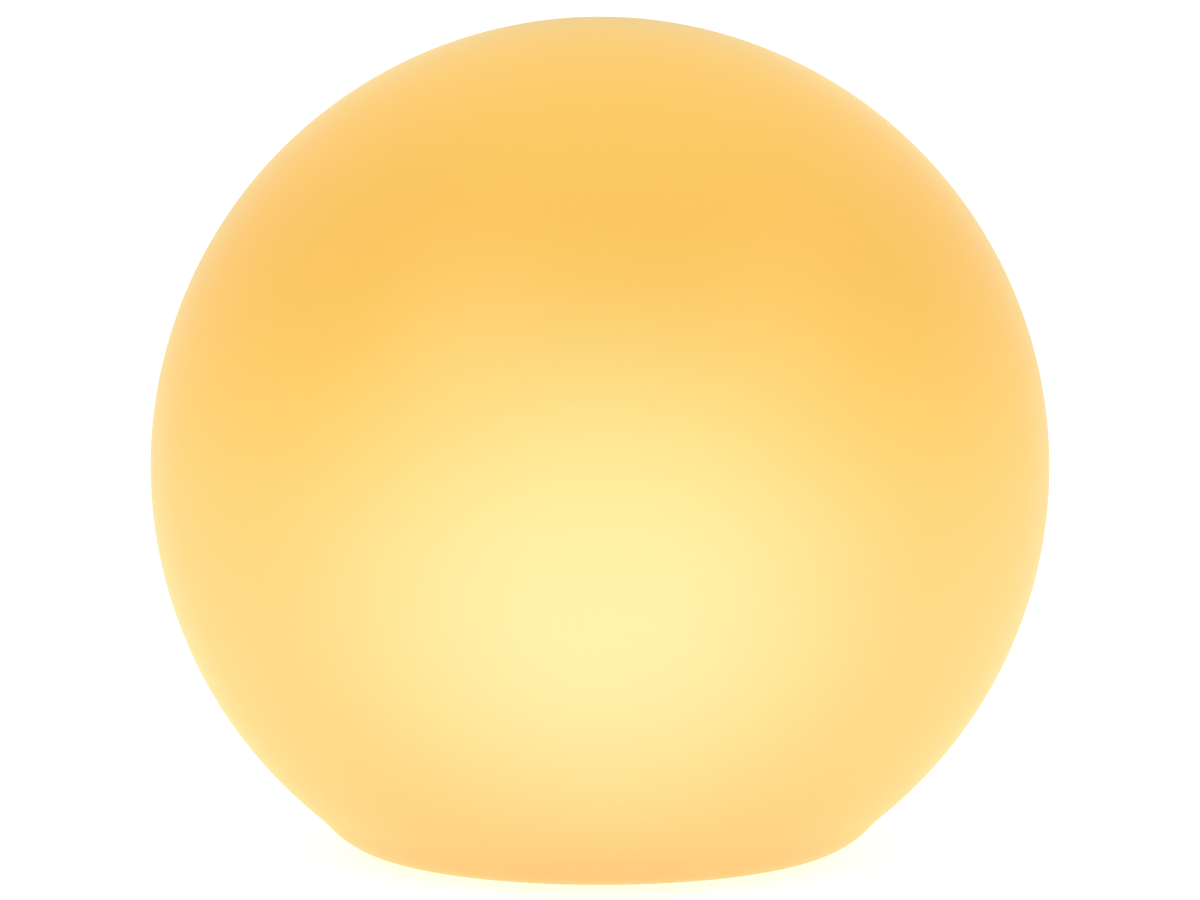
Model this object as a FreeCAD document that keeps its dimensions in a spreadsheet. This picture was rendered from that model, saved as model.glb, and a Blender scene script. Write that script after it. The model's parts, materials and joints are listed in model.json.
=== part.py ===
import FreeCAD, Part
import Sketcher
import math
import os
import re

# Portable globe lamp: a moulded light ball on a flat foot, with a sealed base module that carries the battery,
# the charging coil, the control board and the light source under a cover of its own.
# The origin is on the ground under the centre, +Z is up and the front is -Y. All lengths are in millimetres.

V = FreeCAD.Vector

# Driving dimensions.
SIZES = {
    # ball
    "globe_dia": 250.0,
    "shell_wall": 3.0,
    "foot_land": 0.8,
    "foot_round": 24.5,
    "foot_swell": 0.93,
    "waist_round": 40.0,
    "foot_standoff": 1.0,
    "flange_gap": 0.5,
    "mouth_gap": 1.0,
    "insert_boss_dia": 7.6,
    "insert_boss_height": 8.0,
    # thread inserts and flange screws
    "insert_dia": 4.6,
    "insert_length": 6.0,
    "insert_sink": 0.2,
    "flange_screw_dia": 3.0,
    "flange_screw_length": 9.0,
    "flange_head_dia": 5.6,
    "flange_head_height": 1.6,
    "flange_socket": 2.0,
    "flange_socket_depth": 1.1,
    "flange_screw_offset": 5.0,
    # base housing
    "flange_width": 8.5,
    "plate_thickness": 3.0,
    "gasket_thickness": 0.4,
    "gasket_margin": 0.5,
    "cup_room": 3.4,
    "cup_wall": 2.2,
    "moulding_wall": 2.2,
    "edge_bevel": 0.6,
    # feet
    "pad_width": 6.0,
    "pad_offset": 4.5,
    "pad_span": 40.0,
    "pad_recess": 1.0,
    "pad_gap": 0.1,
    # hanging bail
    "bail_cover": 2.3,
    "bail_wire": 3.5,
    "bail_bend": 3.5,
    "bail_end": 3.5,
    "bail_recess": 1.0,
    "bail_room": 1.75,
    "bail_headroom": 0.5,
    "pivot_clearance": 0.1,
    "pivot_end_gap": 0.5,
    "finger_width": 18.0,
    "finger_length": 8.0,
    # power button
    "button_inset": 12.3,
    "button_dia": 11.6,
    "button_recess": 0.5,
    "button_clearance": 0.1,
    "button_travel": 0.8,
    "button_flange_dia": 14.8,
    "button_flange": 1.0,
    "button_stem_dia": 4.0,
    "button_well_dia": 16.4,
    "button_well_height": 2.0,
    "seal_section": 0.9,
    "seal_stand_out": 0.05,
    "seal_groove_room": 0.1,
    "retainer_thickness": 1.2,
    "retainer_reach": 11.5,
    "retainer_hole": 4.8,
    "retainer_boss_dia": 5.0,
    # switch under the board
    "switch_side": 6.0,
    "switch_height": 3.1,
    "plunger_dia": 3.4,
    "plunger_stand_out": 0.8,
    "plunger_depth": 1.0,
    # status light
    "pipe_room": 0.5,
    "pipe_turn": 46.5,
    "pipe_dia": 3.0,
    "pipe_head_dia": 4.4,
    "pipe_head": 0.8,
    "status_led_side": 2.0,
    "status_led_height": 0.8,
    "status_led_gap": 0.2,
    # pressure vent
    "vent_beside_coil": 7.0,
    "vent_along": 9.0,
    "vent_dia": 7.0,
    "vent_rim_dia": 8.4,
    "vent_rim": 0.8,
    "vent_bore": 2.4,
    "vent_recess": 0.9,
    # charging coil
    "coil_room": 1.6,
    "coil_hole": 18.0,
    "coil_height": 1.2,
    "coil_tail_dia": 1.2,
    "coil_tail_spread": 3.0,
    "coil_tail_inset": 0.8,
    "ferrite_margin": 2.0,
    "ferrite_height": 0.8,
    # control board
    "board_edge_gap": 1.3,
    "board_thickness": 1.6,
    "board_lift": 8.0,
    "board_boss_dia": 6.0,
    "board_notch": 1.0,
    "radio_length": 18.0,
    "radio_width": 13.0,
    "radio_height": 2.6,
    "radio_along": 12.0,
    "inductor_side": 7.0,
    "inductor_height": 4.0,
    "inductor_along": 12.0,
    "inductor_corner": 1.5,
    "connector_length": 8.0,
    "connector_width": 6.0,
    "connector_height": 6.0,
    # standoffs and small screws
    "standoff_length": 7.0,
    "standoff_flats": 5.0,
    "standoff_stud_dia": 2.5,
    "standoff_stud": 4.8,
    "small_screw_dia": 2.5,
    "small_head_dia": 4.6,
    "small_head_height": 1.5,
    "small_screw_grip": 3.5,
    "small_slot": 0.6,
    "small_slot_depth": 0.7,
    "thread_clearance": 0.03,
    "screw_clearance": 0.3,
    # battery
    "cell_dia": 18.4,
    "cell_length": 65.0,
    "cell_cap_dia": 6.0,
    "cell_cap": 0.6,
    "cell_gap": 0.8,
    "cell_lift": 0.4,
    "cell_clearance": 0.1,
    "cell_edge": 0.8,
    "tray_margin": 0.7,
    "tray_corner": 4.0,
    "tray_thickness": 2.0,
    "tray_wall": 1.6,
    "cradle_width": 5.0,
    "cradle_height": 5.0,
    "cradle_spread": 12.0,
    "cradle_edge": 1.2,
    "tray_end_height": 12.0,
    "tray_end_width": 11.0,
    "contact_thickness": 0.3,
    "contact_width": 6.0,
    "contact_gap": 0.1,
    "foam_thickness": 1.6,
    "foam_end": 4.5,
    "foam_overhang": 7.4,
    "foam_corner": 3.0,
    "foam_gap": 0.05,
    # leads
    "lead_dia": 2.0,
    "lead_bend": 3.0,
    "battery_lead_room": 2.5,
    "led_lead_inset": 2.5,
    "led_lead_run": 2.5,
    "led_lead_lift": 0.5,
    # light source
    "post_inset": 2.8,
    "post_turn": 47.0,
    "post_dia": 6.4,
    "spreader_gap": 0.5,
    "spreader_thickness": 2.0,
    "led_board_room": 4.0,
    "led_board_thickness": 1.6,
    "led_ring_inset": 12.0,
    "led_side": 3.5,
    "led_height": 0.8,
    "led_screw_inset": 5.0,
    "led_lead_hole": 4.0,
    "led_core_ring_dia": 18.0,
    # inner cover
    "cover_lip": 0.2,
    "cover_flange": 2.2,
    "cover_screw_room": 0.5,
    "cover_rise": 14.8,
    "cover_lean": 9.0,
    "cover_shoulder": 4.0,
    "cover_wall": 1.8,
    "cover_screw_dia": 3.0,
    "cover_head_dia": 5.0,
    "cover_head_height": 2.0,
    "cover_screw_length": 11.0,
    "cover_socket": 2.5,
    "cover_socket_depth": 1.2,
}

# Places that follow from the driving dimensions.
PLACES = {
    "cell_spacing": "cell_dia + cell_gap",
    "cradle_reach": "cell_spacing / 2 + cell_dia / 2 + cradle_edge",
    "board_boss_spread": "cradle_reach",
    "tray_length": "cell_length + 2 * (contact_thickness + contact_gap + tray_wall)",
    "tray_width": "2 * (board_boss_spread + small_head_dia / 2 + tray_margin)",
    "tray_reach": "tray_corner + sqrt((tray_length / 2 - tray_corner)^2 + (tray_width / 2 - tray_corner)^2)",
    "cup_inner_r": "tray_reach + cup_room",
    "cup_r": "cup_inner_r + cup_wall",
    "mouth_r": "cup_r + mouth_gap",
    "flange_screw_r": "cup_r + flange_screw_offset",
    "flange_r": "cup_r + flange_width",
    "recess_r": "flange_r + flange_gap",
    "pad_r": "cup_r + pad_offset",
    "globe_r": "globe_dia / 2",
    "foot_x": "recess_r + shell_wall + foot_land",
    "foot_z": "foot_standoff + foot_round",
    "foot_reach": "globe_r + foot_swell - foot_round",
    "globe_centre_z": "foot_z + sqrt(foot_reach^2 - foot_x^2)",
    "foot_angle": "atan2(foot_z - globe_centre_z; foot_x)",
    "waist_reach": "globe_r + waist_round",
    "waist_along": "(waist_reach^2 - (foot_round + waist_round)^2 + foot_reach^2) / (2 * foot_reach)",
    "waist_angle": "foot_angle + acos(waist_along / waist_reach)",
    "waist_x": "waist_reach * cos(waist_angle)",
    "waist_z": "globe_centre_z + waist_reach * sin(waist_angle)",
    "sphere_end_share": "globe_r / waist_reach",
    "sphere_end_inner_share": "(globe_r - shell_wall) / waist_reach",
    "foot_end_share": "foot_round / (foot_round + waist_round)",
    "foot_end_inner_share": "(foot_round - shell_wall) / (foot_round + waist_round)",
    "plate_top_z": "foot_standoff + plate_thickness",
    "seat_z": "plate_top_z + gasket_thickness",
    "board_z": "plate_top_z + board_lift",
    "board_top_z": "board_z + board_thickness",
    "tray_z": "board_top_z + standoff_length",
    "tray_top_z": "tray_z + tray_thickness",
    "cell_z": "tray_top_z + cell_lift + cell_dia / 2",
    "cell_top_z": "cell_z + cell_dia / 2",
    "spreader_z": "cell_top_z + foam_thickness",
    "rim_z": "spreader_z + spreader_thickness",
    "led_board_top_z": "rim_z + led_board_thickness",
    "cover_flange_z": "rim_z + cover_flange",
    "cover_top_z": "cover_flange_z + cover_rise",
    "post_reach": "cup_inner_r - post_inset",
    "post_across": "post_reach * cos(post_turn)",
    "post_along": "post_reach * sin(post_turn)",
    "cover_r": "post_reach - cover_head_dia / 2 - cover_screw_room",
    "led_board_r": "cover_r - led_board_room",
    "led_lead_along": "led_board_r - led_lead_inset",
    "battery_lead_reach": "tray_length / 2 + battery_lead_room",
    "pivot_z": "foot_standoff + bail_recess + bail_wire / 2",
    "groove_top_z": "pivot_z + bail_wire / 2 + bail_headroom",
    "groove_half": "bail_wire / 2 + bail_room",
    "pivot_end_x": "cup_inner_r - bail_cover",
    "bail_pivot_x": "pivot_end_x - bail_end",
    "bail_radius": "bail_pivot_x - bail_bend",
    "groove_inner_r": "bail_radius - groove_half",
    "groove_outer_r": "bail_radius + groove_half",
    "groove_end_y": "-(bail_wire / 2 + bail_room / 2)",
    "pivot_bore_r": "bail_wire / 2 + pivot_clearance",
    "button_reach": "cup_inner_r - button_inset",
    "coil_r": "button_reach - button_well_dia / 2 - moulding_wall - coil_room",
    "pipe_reach": "button_well_dia / 2 + moulding_wall + pipe_head_dia / 2 + pipe_room",
    "pipe_across": "pipe_reach * cos(pipe_turn)",
    "pipe_along": "button_reach - pipe_reach * sin(pipe_turn)",
    "vent_across": "coil_r + vent_beside_coil",
    "button_z": "foot_standoff + button_recess",
    "button_flange_top_z": "plate_top_z + button_flange",
    "seal_z": "(button_z + edge_bevel + plate_top_z) / 2",
    "seal_r": "button_dia / 2 + seal_stand_out - seal_section / 2",
    "button_hole_r": "button_dia / 2 + button_clearance",
    "switch_z": "board_z - switch_height",
    "plunger_z": "switch_z - plunger_stand_out",
    "retainer_z": "plate_top_z + button_well_height",
    "insert_z": "seat_z + insert_sink",
    "connector_z": "board_top_z + connector_height",
}


def fill_sheet(name, rows):
    """A sheet with each row's name beside its number or formula."""
    sheet = doc.addObject("Spreadsheet::Sheet", name)
    for row, (alias, content) in enumerate(rows.items(), 1):
        sheet.set("A%d" % row, alias)
        sheet.set("B%d" % row, content)
        sheet.setAlias("B%d" % row, alias)
    doc.recompute()
    return sheet


def fx(text):
    """The formula with each size and place led by the name of its sheet."""
    def led(match):
        word = match[0]
        if word in SIZES:
            return "Sizes." + word
        return "Places." + word if word in PLACES else word
    return re.sub(r"[a-z]\w*", led, text)


def value(text):
    """What the formula comes to at the present sizes."""
    return float(sizes.evalExpression(fx(text)))


def bind(thing, **formulas):
    """Ties properties of an object to formulas. A double underscore stands for a dot."""
    for name, text in formulas.items():
        thing.setExpression(name.replace("__", "."), fx(text))


def minus(text):
    return "-(%s)" % text


# Sketches

def datum(body, role):
    return next(item for item in body.Origin.OriginFeatures if item.Role == role)


def new_body(name):
    body = doc.addObject("PartDesign::Body", name)
    body.Label = name
    body.AllowCompound = True
    return body


def new_sketch(body, name, role, offset):
    sketch = body.newObject("Sketcher::SketchObject", name)
    sketch.AttachmentSupport = [(datum(body, role), "")]
    sketch.MapMode = "FlatFace"
    for axis, text in zip("xyz", offset):
        sketch.setExpression("AttachmentOffset.Base." + axis, fx(text))
    return sketch


def constrain(sketch, text, kind, *where):
    number = sketch.addConstraint(Sketcher.Constraint(kind, *where, value(text)))
    sketch.setExpression("Constraints[%d]" % number, fx(text))


def hold(sketch, geometry, point, x, y):
    constrain(sketch, x, "DistanceX", -1, 1, geometry, point)
    constrain(sketch, y, "DistanceY", -1, 1, geometry, point)


def disc(x, y, radius):
    """Draws a circle."""
    def draw(sketch):
        circle = Part.Circle(V(value(x), value(y), 0), V(0, 0, 1), value(radius))
        geometry = sketch.addGeometry(circle, False)
        hold(sketch, geometry, 3, x, y)
        constrain(sketch, radius, "Radius", geometry)
    return draw


def arc_between(start, end, centre, radius):
    """The shorter arc, and whether it runs from start to end against the clock."""
    first = math.atan2(start.y - centre.y, start.x - centre.x)
    last = math.atan2(end.y - centre.y, end.x - centre.x)
    forward = (last - first) % (2 * math.pi) < math.pi
    if not forward:
        first, last = last, first
    return Part.ArcOfCircle(Part.Circle(centre, V(0, 0, 1), radius), first, last), forward


def outline(corners, closed):
    def draw(sketch):
        points = [V(value(corner[0]), value(corner[1]), 0) for corner in corners]
        edges, ends = [], corners if closed else corners[1:]
        if not closed:
            points.append(points.pop(0))
        for number, corner in enumerate(ends):
            start, end = points[number - 1], points[number]
            if len(corner) == 2:
                edges.append((sketch.addGeometry(Part.LineSegment(start, end), False), 1, 2))
                continue
            centre = V(value(corner[2]), value(corner[3]), 0)
            arc, forward = arc_between(start, end, centre, value(corner[4]))
            edges.append((sketch.addGeometry(arc, False), *((1, 2) if forward else (2, 1))))
        for (edge, _, end), (following, start, _) in zip(edges, edges[1:] + edges[:1] * closed):
            sketch.addConstraint(Sketcher.Constraint("Coincident", edge, end, following, start))
        for (edge, _, end), corner in zip(edges, ends):
            hold(sketch, edge, end, corner[0], corner[1])
            if len(corner) > 2:
                constrain(sketch, corner[4], "Radius", edge)
        if not closed:
            hold(sketch, edges[0][0], edges[0][1], *corners[0])
    return draw


def loop(*corners):
    """Draws a closed outline. A corner is its x and y. Where an arc leads to it, the arc's centre x and y and its
    radius follow."""
    return outline(corners, True)


def chain(*corners):
    """Draws an open route, from its first corner to its last."""
    return outline(corners, False)


def rectangle(x, y, length, width):
    """Draws a rectangle about its centre."""
    left, right = "%s - (%s) / 2" % (x, length), "%s + (%s) / 2" % (x, length)
    low, high = "%s - (%s) / 2" % (y, width), "%s + (%s) / 2" % (y, width)
    return loop((left, low), (right, low), (right, high), (left, high))


def hexagon(x, y, flats):
    """Draws a hexagon with two corners along x."""
    corners = []
    for turn in range(0, 360, 60):
        reach = "(%s) / 2 / cos(30)" % flats
        corners.append(("%s + %s * cos(%d)" % (x, reach, turn), "%s + %s * sin(%d)" % (y, reach, turn)))
    return loop(*corners)


def band(inner, outer, middle, span):
    """Draws a piece of a ring about the origin. Its middle and span are angles."""
    low, high = "(%s - (%s) / 2)" % (middle, span), "(%s + (%s) / 2)" % (middle, span)

    def at(radius, angle):
        return "(%s) * cos(%s)" % (radius, angle), "(%s) * sin(%s)" % (radius, angle)

    return loop((*at(inner, low), "0", "0", inner), at(outer, low),
                (*at(outer, high), "0", "0", outer), at(inner, high))


def rounded(x, y, length, width, corner):
    """Draws a rectangle with round corners about its centre."""
    right, top = "(%s) / 2" % length, "(%s) / 2" % width
    corners = []
    for first, second in (("", ""), ("-", ""), ("-", "-"), ("", "-")):
        across, along = "%s %s (%s)" % (x, first or "+", right), "%s %s (%s)" % (y, second or "+", top)
        inner_x = "%s %s ((%s) - %s)" % (x, first or "+", right, corner)
        inner_y = "%s %s ((%s) - %s)" % (y, second or "+", top, corner)
        ends = [(across, inner_y), (inner_x, along)]
        if first != second:
            ends.reverse()
        corners += [ends[0], (*ends[1], inner_x, inner_y, corner)]
    return loop(*corners)


def horseshoe(inner, outer, middle_y, end_y):
    """Draws half a ring about (0, middle_y), open towards -y, with straight legs down to end_y."""
    return loop((outer, end_y), (outer, middle_y),
                ("0", "%s + %s" % (middle_y, outer), "0", middle_y, outer),
                (minus(outer), middle_y, "0", middle_y, outer), (minus(outer), end_y),
                (minus(inner), end_y), (minus(inner), middle_y),
                ("0", "%s + %s" % (middle_y, inner), "0", middle_y, inner),
                (inner, middle_y, "0", middle_y, inner), (inner, end_y))


# Places that repeat

def four(across, along):
    """The four places at plus and minus across and along."""
    return [(x, y) for x in (across, minus(across)) for y in (along, minus(along))]


def three(radius):
    """Three places on a circle, the first towards the back."""
    return [("(%s) * cos(%d)" % (radius, turn), "(%s) * sin(%d)" % (radius, turn)) for turn in (90, 210, 330)]


def discs(places, radius):
    return [disc(x, y, radius) for x, y in places]


# Features of a body

def drawn(body, name, shapes, role, offset):
    sketch = new_sketch(body, name + "Sketch", role, offset)
    for draw in shapes:
        draw(sketch)
    return sketch


def pad(body, name, shapes, at, height):
    """Adds material from the level at upwards."""
    feature = body.newObject("PartDesign::Pad", name)
    feature.Profile = drawn(body, name, shapes, "XY_Plane", ("0", "0", at))
    bind(feature, Length=height)
    doc.recompute()
    return feature


def pocket(body, name, shapes, at, depth, role="XY_Plane", forward=True):
    """Cuts from the level at along the plane's normal, or against it."""
    before = body.Shape.Volume
    sketch = drawn(body, name, shapes, role, ("0", "0", at))
    feature = body.newObject("PartDesign::Pocket", name)
    feature.Profile = sketch
    feature.Reversed = forward
    bind(feature, Length=depth)
    doc.recompute()
    check_cut(body, name, before)
    return feature


def check_cut(body, name, before):
    if body.Shape.Volume >= before:
        raise ValueError("%s in %s cuts nothing" % (name, body.Label))


def turned(body, name, profile, kind="PartDesign::Revolution", x="0", y="0"):
    """Turns a profile, drawn as distance and height, about the upright line at x, y."""
    cuts = kind == "PartDesign::Groove"
    before = body.Shape.Volume if cuts else 0
    sketch = drawn(body, name, [profile], "XZ_Plane", (x, "0", minus(y)))
    feature = body.newObject(kind, name)
    feature.Profile = sketch
    feature.ReferenceAxis = (sketch, ["V_Axis"])
    doc.recompute()
    if cuts:
        check_cut(body, name, before)
    return feature


def around(body, features, count):
    """Repeats features about the lamp's axis."""
    pattern = body.newObject("PartDesign::PolarPattern", features[0].Name + "Ring")
    pattern.Originals = features
    pattern.Axis = (datum(body, "Z_Axis"), [""])
    pattern.Occurrences = count
    body.Tip = pattern
    doc.recompute()


def pipe(body, name, role, offset, route, start_role, start_offset, x, y, radius):
    """A round bar along a route, from a circle at its start."""
    path = drawn(body, name + "Route", [route], role, offset)
    section = drawn(body, name, [disc(x, y, radius)], start_role, start_offset)
    feature = body.newObject("PartDesign::AdditivePipe", name)
    feature.Profile = section
    feature.Spine = (path, ["Edge%d" % (number + 1) for number in range(path.GeometryCount)])
    doc.recompute()


def screw_set(name, places, seat, grip, head_dia, head_height, dia):
    """Pan-head screws that point down from the level seat."""
    body = new_body(name)
    pad(body, name + "Head", discs(places, head_dia + " / 2"), seat, head_height)
    pad(body, name + "Shank", discs(places, dia + " / 2"), "%s - (%s)" % (seat, grip), grip)
    return body


def slotted_screws(name, places, seat, grip):
    body = screw_set(name, places, seat, grip, "small_head_dia", "small_head_height", "small_screw_dia")
    slots = [rectangle(x, y, "small_head_dia", "small_slot") for x, y in places]
    pocket(body, name + "Slot", slots, seat + " + small_head_height - small_slot_depth", "small_slot_depth")


# The ball

def globe_shell():
    """Thin ball on a rounded foot, with an inward ring that the base module seats against."""
    body = new_body("globe_shell")
    waist = ("waist_x", "waist_z")

    def towards_waist(x, z, share):
        return "%s + (waist_x - (%s)) * %s" % (x, x, share), "%s + (waist_z - (%s)) * %s" % (z, z, share)

    turned(body, "Wall", loop(
        ("0", "globe_centre_z + globe_r"),
        (*towards_waist("0", "globe_centre_z", "sphere_end_share"), "0", "globe_centre_z", "globe_r"),
        (*towards_waist("foot_x", "foot_z", "foot_end_share"), *waist, "waist_round"),
        ("foot_x", "foot_standoff", "foot_x", "foot_z", "foot_round"),
        ("recess_r", "foot_standoff"),
        ("recess_r", "seat_z"),
        ("mouth_r", "seat_z"),
        ("mouth_r", "seat_z + shell_wall"),
        ("recess_r + shell_wall", "seat_z + shell_wall"),
        ("recess_r + shell_wall", "foot_standoff + shell_wall"),
        ("foot_x", "foot_standoff + shell_wall"),
        (*towards_waist("foot_x", "foot_z", "foot_end_inner_share"), "foot_x", "foot_z", "foot_round - shell_wall"),
        (*towards_waist("0", "globe_centre_z", "sphere_end_inner_share"), *waist, "waist_round + shell_wall"),
        ("0", "globe_centre_z + globe_r - shell_wall", "0", "globe_centre_z", "globe_r - shell_wall")))
    place = ("flange_screw_r", "0")
    boss = pad(body, "InsertBoss", [disc(*place, "insert_boss_dia / 2")], "seat_z", "insert_boss_height")
    hole = pocket(body, "InsertHole", [disc(*place, "insert_dia / 2 + thread_clearance")], "seat_z",
                  "2 * insert_sink + insert_length")
    around(body, [boss, hole], 6)


def thread_inserts():
    body = new_body("thread_inserts")
    insert = pad(body, "Insert", [disc("flange_screw_r", "0", "insert_dia / 2"),
                                  disc("flange_screw_r", "0", "flange_screw_dia / 2 + thread_clearance")],
                 "insert_z", "insert_length")
    around(body, [insert], 6)


def shell_gasket():
    body = new_body("shell_gasket")
    pad(body, "Ring", [disc("0", "0", "flange_r - gasket_margin"), disc("0", "0", "mouth_r + gasket_margin")],
        "plate_top_z", "gasket_thickness")
    hole = pocket(body, "ScrewHole", [disc("flange_screw_r", "0", "flange_screw_dia / 2 + screw_clearance")],
                  "plate_top_z", "gasket_thickness")
    around(body, [hole], 6)


def flange_screws():
    body = new_body("flange_screws")
    shank_r, low = "flange_screw_dia / 2", "foot_standoff"
    screw = turned(body, "Screw", loop(
        ("0", low), ("flange_head_dia / 2", low), (shank_r, low + " + flange_head_height"),
        (shank_r, low + " + flange_screw_length"), ("0", low + " + flange_screw_length")),
        x="flange_screw_r")
    socket = pocket(body, "Socket", [hexagon("flange_screw_r", "0", "flange_socket")], low,
                    "flange_socket_depth")
    around(body, [screw, socket], 6)


# The base housing

def base_housing():
    """Flange and cup in one moulding, with the wells, grooves and posts that hold everything else."""
    body = new_body("base_housing")
    turned(body, "Cup", loop(
        ("0", "foot_standoff"), ("flange_r - edge_bevel", "foot_standoff"),
        ("flange_r", "foot_standoff + edge_bevel"), ("flange_r", "plate_top_z"),
        ("cup_r", "plate_top_z"), ("cup_r", "rim_z"),
        ("cup_inner_r", "rim_z"), ("cup_inner_r", "plate_top_z"), ("0", "plate_top_z")))
    add_posts(body)
    add_bail_groove(body)
    add_button_well(body)
    add_flange_holes(body)


def add_bail_groove(body):
    """A ridge inside hides the groove in which the bail lies folded, with a finger notch and two pivot bores."""
    ridge_height = "groove_top_z + moulding_wall - plate_top_z"
    notch_low, notch_high = "bail_bend + groove_inner_r - finger_length", "bail_bend + bail_radius"
    notch_y, notch_width = "((%s) + (%s)) / 2" % (notch_low, notch_high), "(%s) - (%s)" % (notch_high, notch_low)
    pad(body, "GrooveRidge", [horseshoe("groove_inner_r - moulding_wall", "groove_outer_r + moulding_wall",
                                        "bail_bend", "groove_end_y - moulding_wall")], "plate_top_z", ridge_height)
    pad(body, "NotchRidge", [rectangle("0", notch_y, "finger_width + 2 * moulding_wall",
                                       notch_width + " + 2 * moulding_wall")], "plate_top_z", ridge_height)
    lug_x = "(groove_outer_r + cup_inner_r + cup_wall / 2) / 2"
    lug_length = "cup_inner_r + cup_wall / 2 - groove_outer_r"
    lugs = [rectangle(x, "0", lug_length, "2 * (moulding_wall - groove_end_y)") for x in (lug_x, minus(lug_x))]
    pad(body, "PivotLug", lugs, "plate_top_z", ridge_height)
    depth = "groove_top_z - foot_standoff"
    pocket(body, "Groove", [horseshoe("groove_inner_r", "groove_outer_r", "bail_bend", "groove_end_y")],
           "foot_standoff", depth)
    pocket(body, "FingerNotch", [rectangle("0", notch_y, "finger_width", notch_width)], "foot_standoff", depth)
    bore = disc("0", "pivot_z", "pivot_bore_r")
    bore_depth = "pivot_end_x + pivot_end_gap - groove_outer_r"
    pocket(body, "RightPivot", [bore], "groove_outer_r", bore_depth, "YZ_Plane")
    pocket(body, "LeftPivot", [bore], minus("groove_outer_r"), bore_depth, "YZ_Plane", False)


def add_button_well(body):
    """The button's bore and well, with the status light's bore and the vent's seat beside it."""
    button = ("0", "-button_reach")
    retainer = [("retainer_reach", "-button_reach"), ("-retainer_reach", "-button_reach")]
    pad(body, "Well", [disc(*button, "button_well_dia / 2 + moulding_wall")], "plate_top_z", "button_well_height")
    pad(body, "RetainerBoss", discs(retainer, "retainer_boss_dia / 2"), "plate_top_z", "button_well_height")
    pocket(body, "WellRoom", [disc(*button, "button_well_dia / 2")], "plate_top_z", "button_well_height")
    pocket(body, "ButtonBore", [disc(*button, "button_hole_r")], "foot_standoff", "plate_thickness")
    pocket(body, "RetainerHole", discs(retainer, "small_screw_dia / 2 + thread_clearance"),
           "retainer_z - small_screw_grip - screw_clearance", "small_screw_grip + screw_clearance")
    pocket(body, "PipeBore", [disc("pipe_across", "-pipe_along", "pipe_dia / 2 + thread_clearance")],
           "foot_standoff", "plate_thickness")
    vent = ("-vent_across", "-vent_along")
    pocket(body, "VentBore", [disc(*vent, "vent_dia / 2 + thread_clearance")], "foot_standoff", "plate_thickness")
    pocket(body, "VentSeat", [disc(*vent, "vent_rim_dia / 2 + screw_clearance")], "foot_standoff", "vent_recess")


def add_posts(body):
    """Four short bosses for the board and four tall posts for the light source."""
    bosses, posts = four("board_boss_spread", "board_boss_spread"), four("post_across", "post_along")
    pad(body, "BoardBoss", discs(bosses, "board_boss_dia / 2"), "plate_top_z", "board_lift")
    stud_depth = "standoff_stud - board_thickness + screw_clearance"
    pocket(body, "BoardBossHole", discs(bosses, "standoff_stud_dia / 2 + thread_clearance"),
           "board_z - (%s)" % stud_depth, stud_depth)
    pad(body, "Post", discs(posts, "post_dia / 2"), "plate_top_z", "spreader_z - plate_top_z")
    screw_depth = "cover_screw_length - cover_flange - spreader_thickness + screw_clearance"
    pocket(body, "PostHole", discs(posts, "cover_screw_dia / 2 + thread_clearance"),
           "spreader_z - (%s)" % screw_depth, screw_depth)


def add_flange_holes(body):
    """Countersunk screw holes and the three recesses of the feet."""
    hole_r, low = "flange_screw_dia / 2 + screw_clearance", "foot_standoff"
    hole = turned(body, "ScrewHole", loop(
        ("0", low), ("flange_head_dia / 2 + screw_clearance", low), (hole_r, low + " + flange_head_height"),
        (hole_r, "plate_top_z"), ("0", "plate_top_z")), "PartDesign::Groove", x="flange_screw_r")
    around(body, [hole], 6)
    recess = pocket(body, "FootRecess", [band("pad_r - pad_width / 2 - pad_gap",
                                              "pad_r + pad_width / 2 + pad_gap", "90", "pad_span")],
                    low, "pad_recess")
    around(body, [recess], 3)


def foot_pads():
    body = new_body("foot_pads")
    foot = pad(body, "Foot", [band("pad_r - pad_width / 2", "pad_r + pad_width / 2", "90", "pad_span")], "0",
               "foot_standoff + pad_recess")
    around(body, [foot], 3)


# The hanging bail

def hanging_bail():
    """Half a ring of wire whose ends turn outwards into the pivot bores."""
    body = new_body("hanging_bail")
    start = minus("pivot_end_x")
    route = chain((start, "0"), (minus("bail_pivot_x"), "0"),
                  (minus("bail_radius"), "bail_bend", minus("bail_pivot_x"), "bail_bend", "bail_bend"),
                  ("0", "bail_bend + bail_radius", "0", "bail_bend", "bail_radius"),
                  ("bail_radius", "bail_bend", "0", "bail_bend", "bail_radius"),
                  ("bail_pivot_x", "0", "bail_pivot_x", "bail_bend", "bail_bend"), ("pivot_end_x", "0"))
    pipe(body, "Wire", "XY_Plane", ("0", "0", "pivot_z"), route,
         "YZ_Plane", ("0", "0", start), "0", "pivot_z", "bail_wire / 2")


# The power button

def power_button():
    """Round push cap with a seal groove, a flange that stops it in its well and a stem up to the switch."""
    body = new_body("power_button")
    cap_r, stem_r, low = "button_dia / 2", "button_stem_dia / 2", "button_z"
    groove_r = "seal_r - (seal_section + seal_groove_room) / 2"
    groove_low, groove_high = ("seal_z %s (seal_section + seal_groove_room) / 2" % sign for sign in "-+")
    turned(body, "Cap", loop(
        ("0", low), (cap_r + " - edge_bevel", low), (cap_r, low + " + edge_bevel"), (cap_r, groove_low), (groove_r, groove_low), (groove_r, groove_high), (cap_r, groove_high),
        (cap_r, "plate_top_z"), ("button_flange_dia / 2", "plate_top_z"),
        ("button_flange_dia / 2", "button_flange_top_z"), (stem_r, "button_flange_top_z"),
        (stem_r, "plunger_z"), ("0", "plunger_z")), y="-button_reach")


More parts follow.
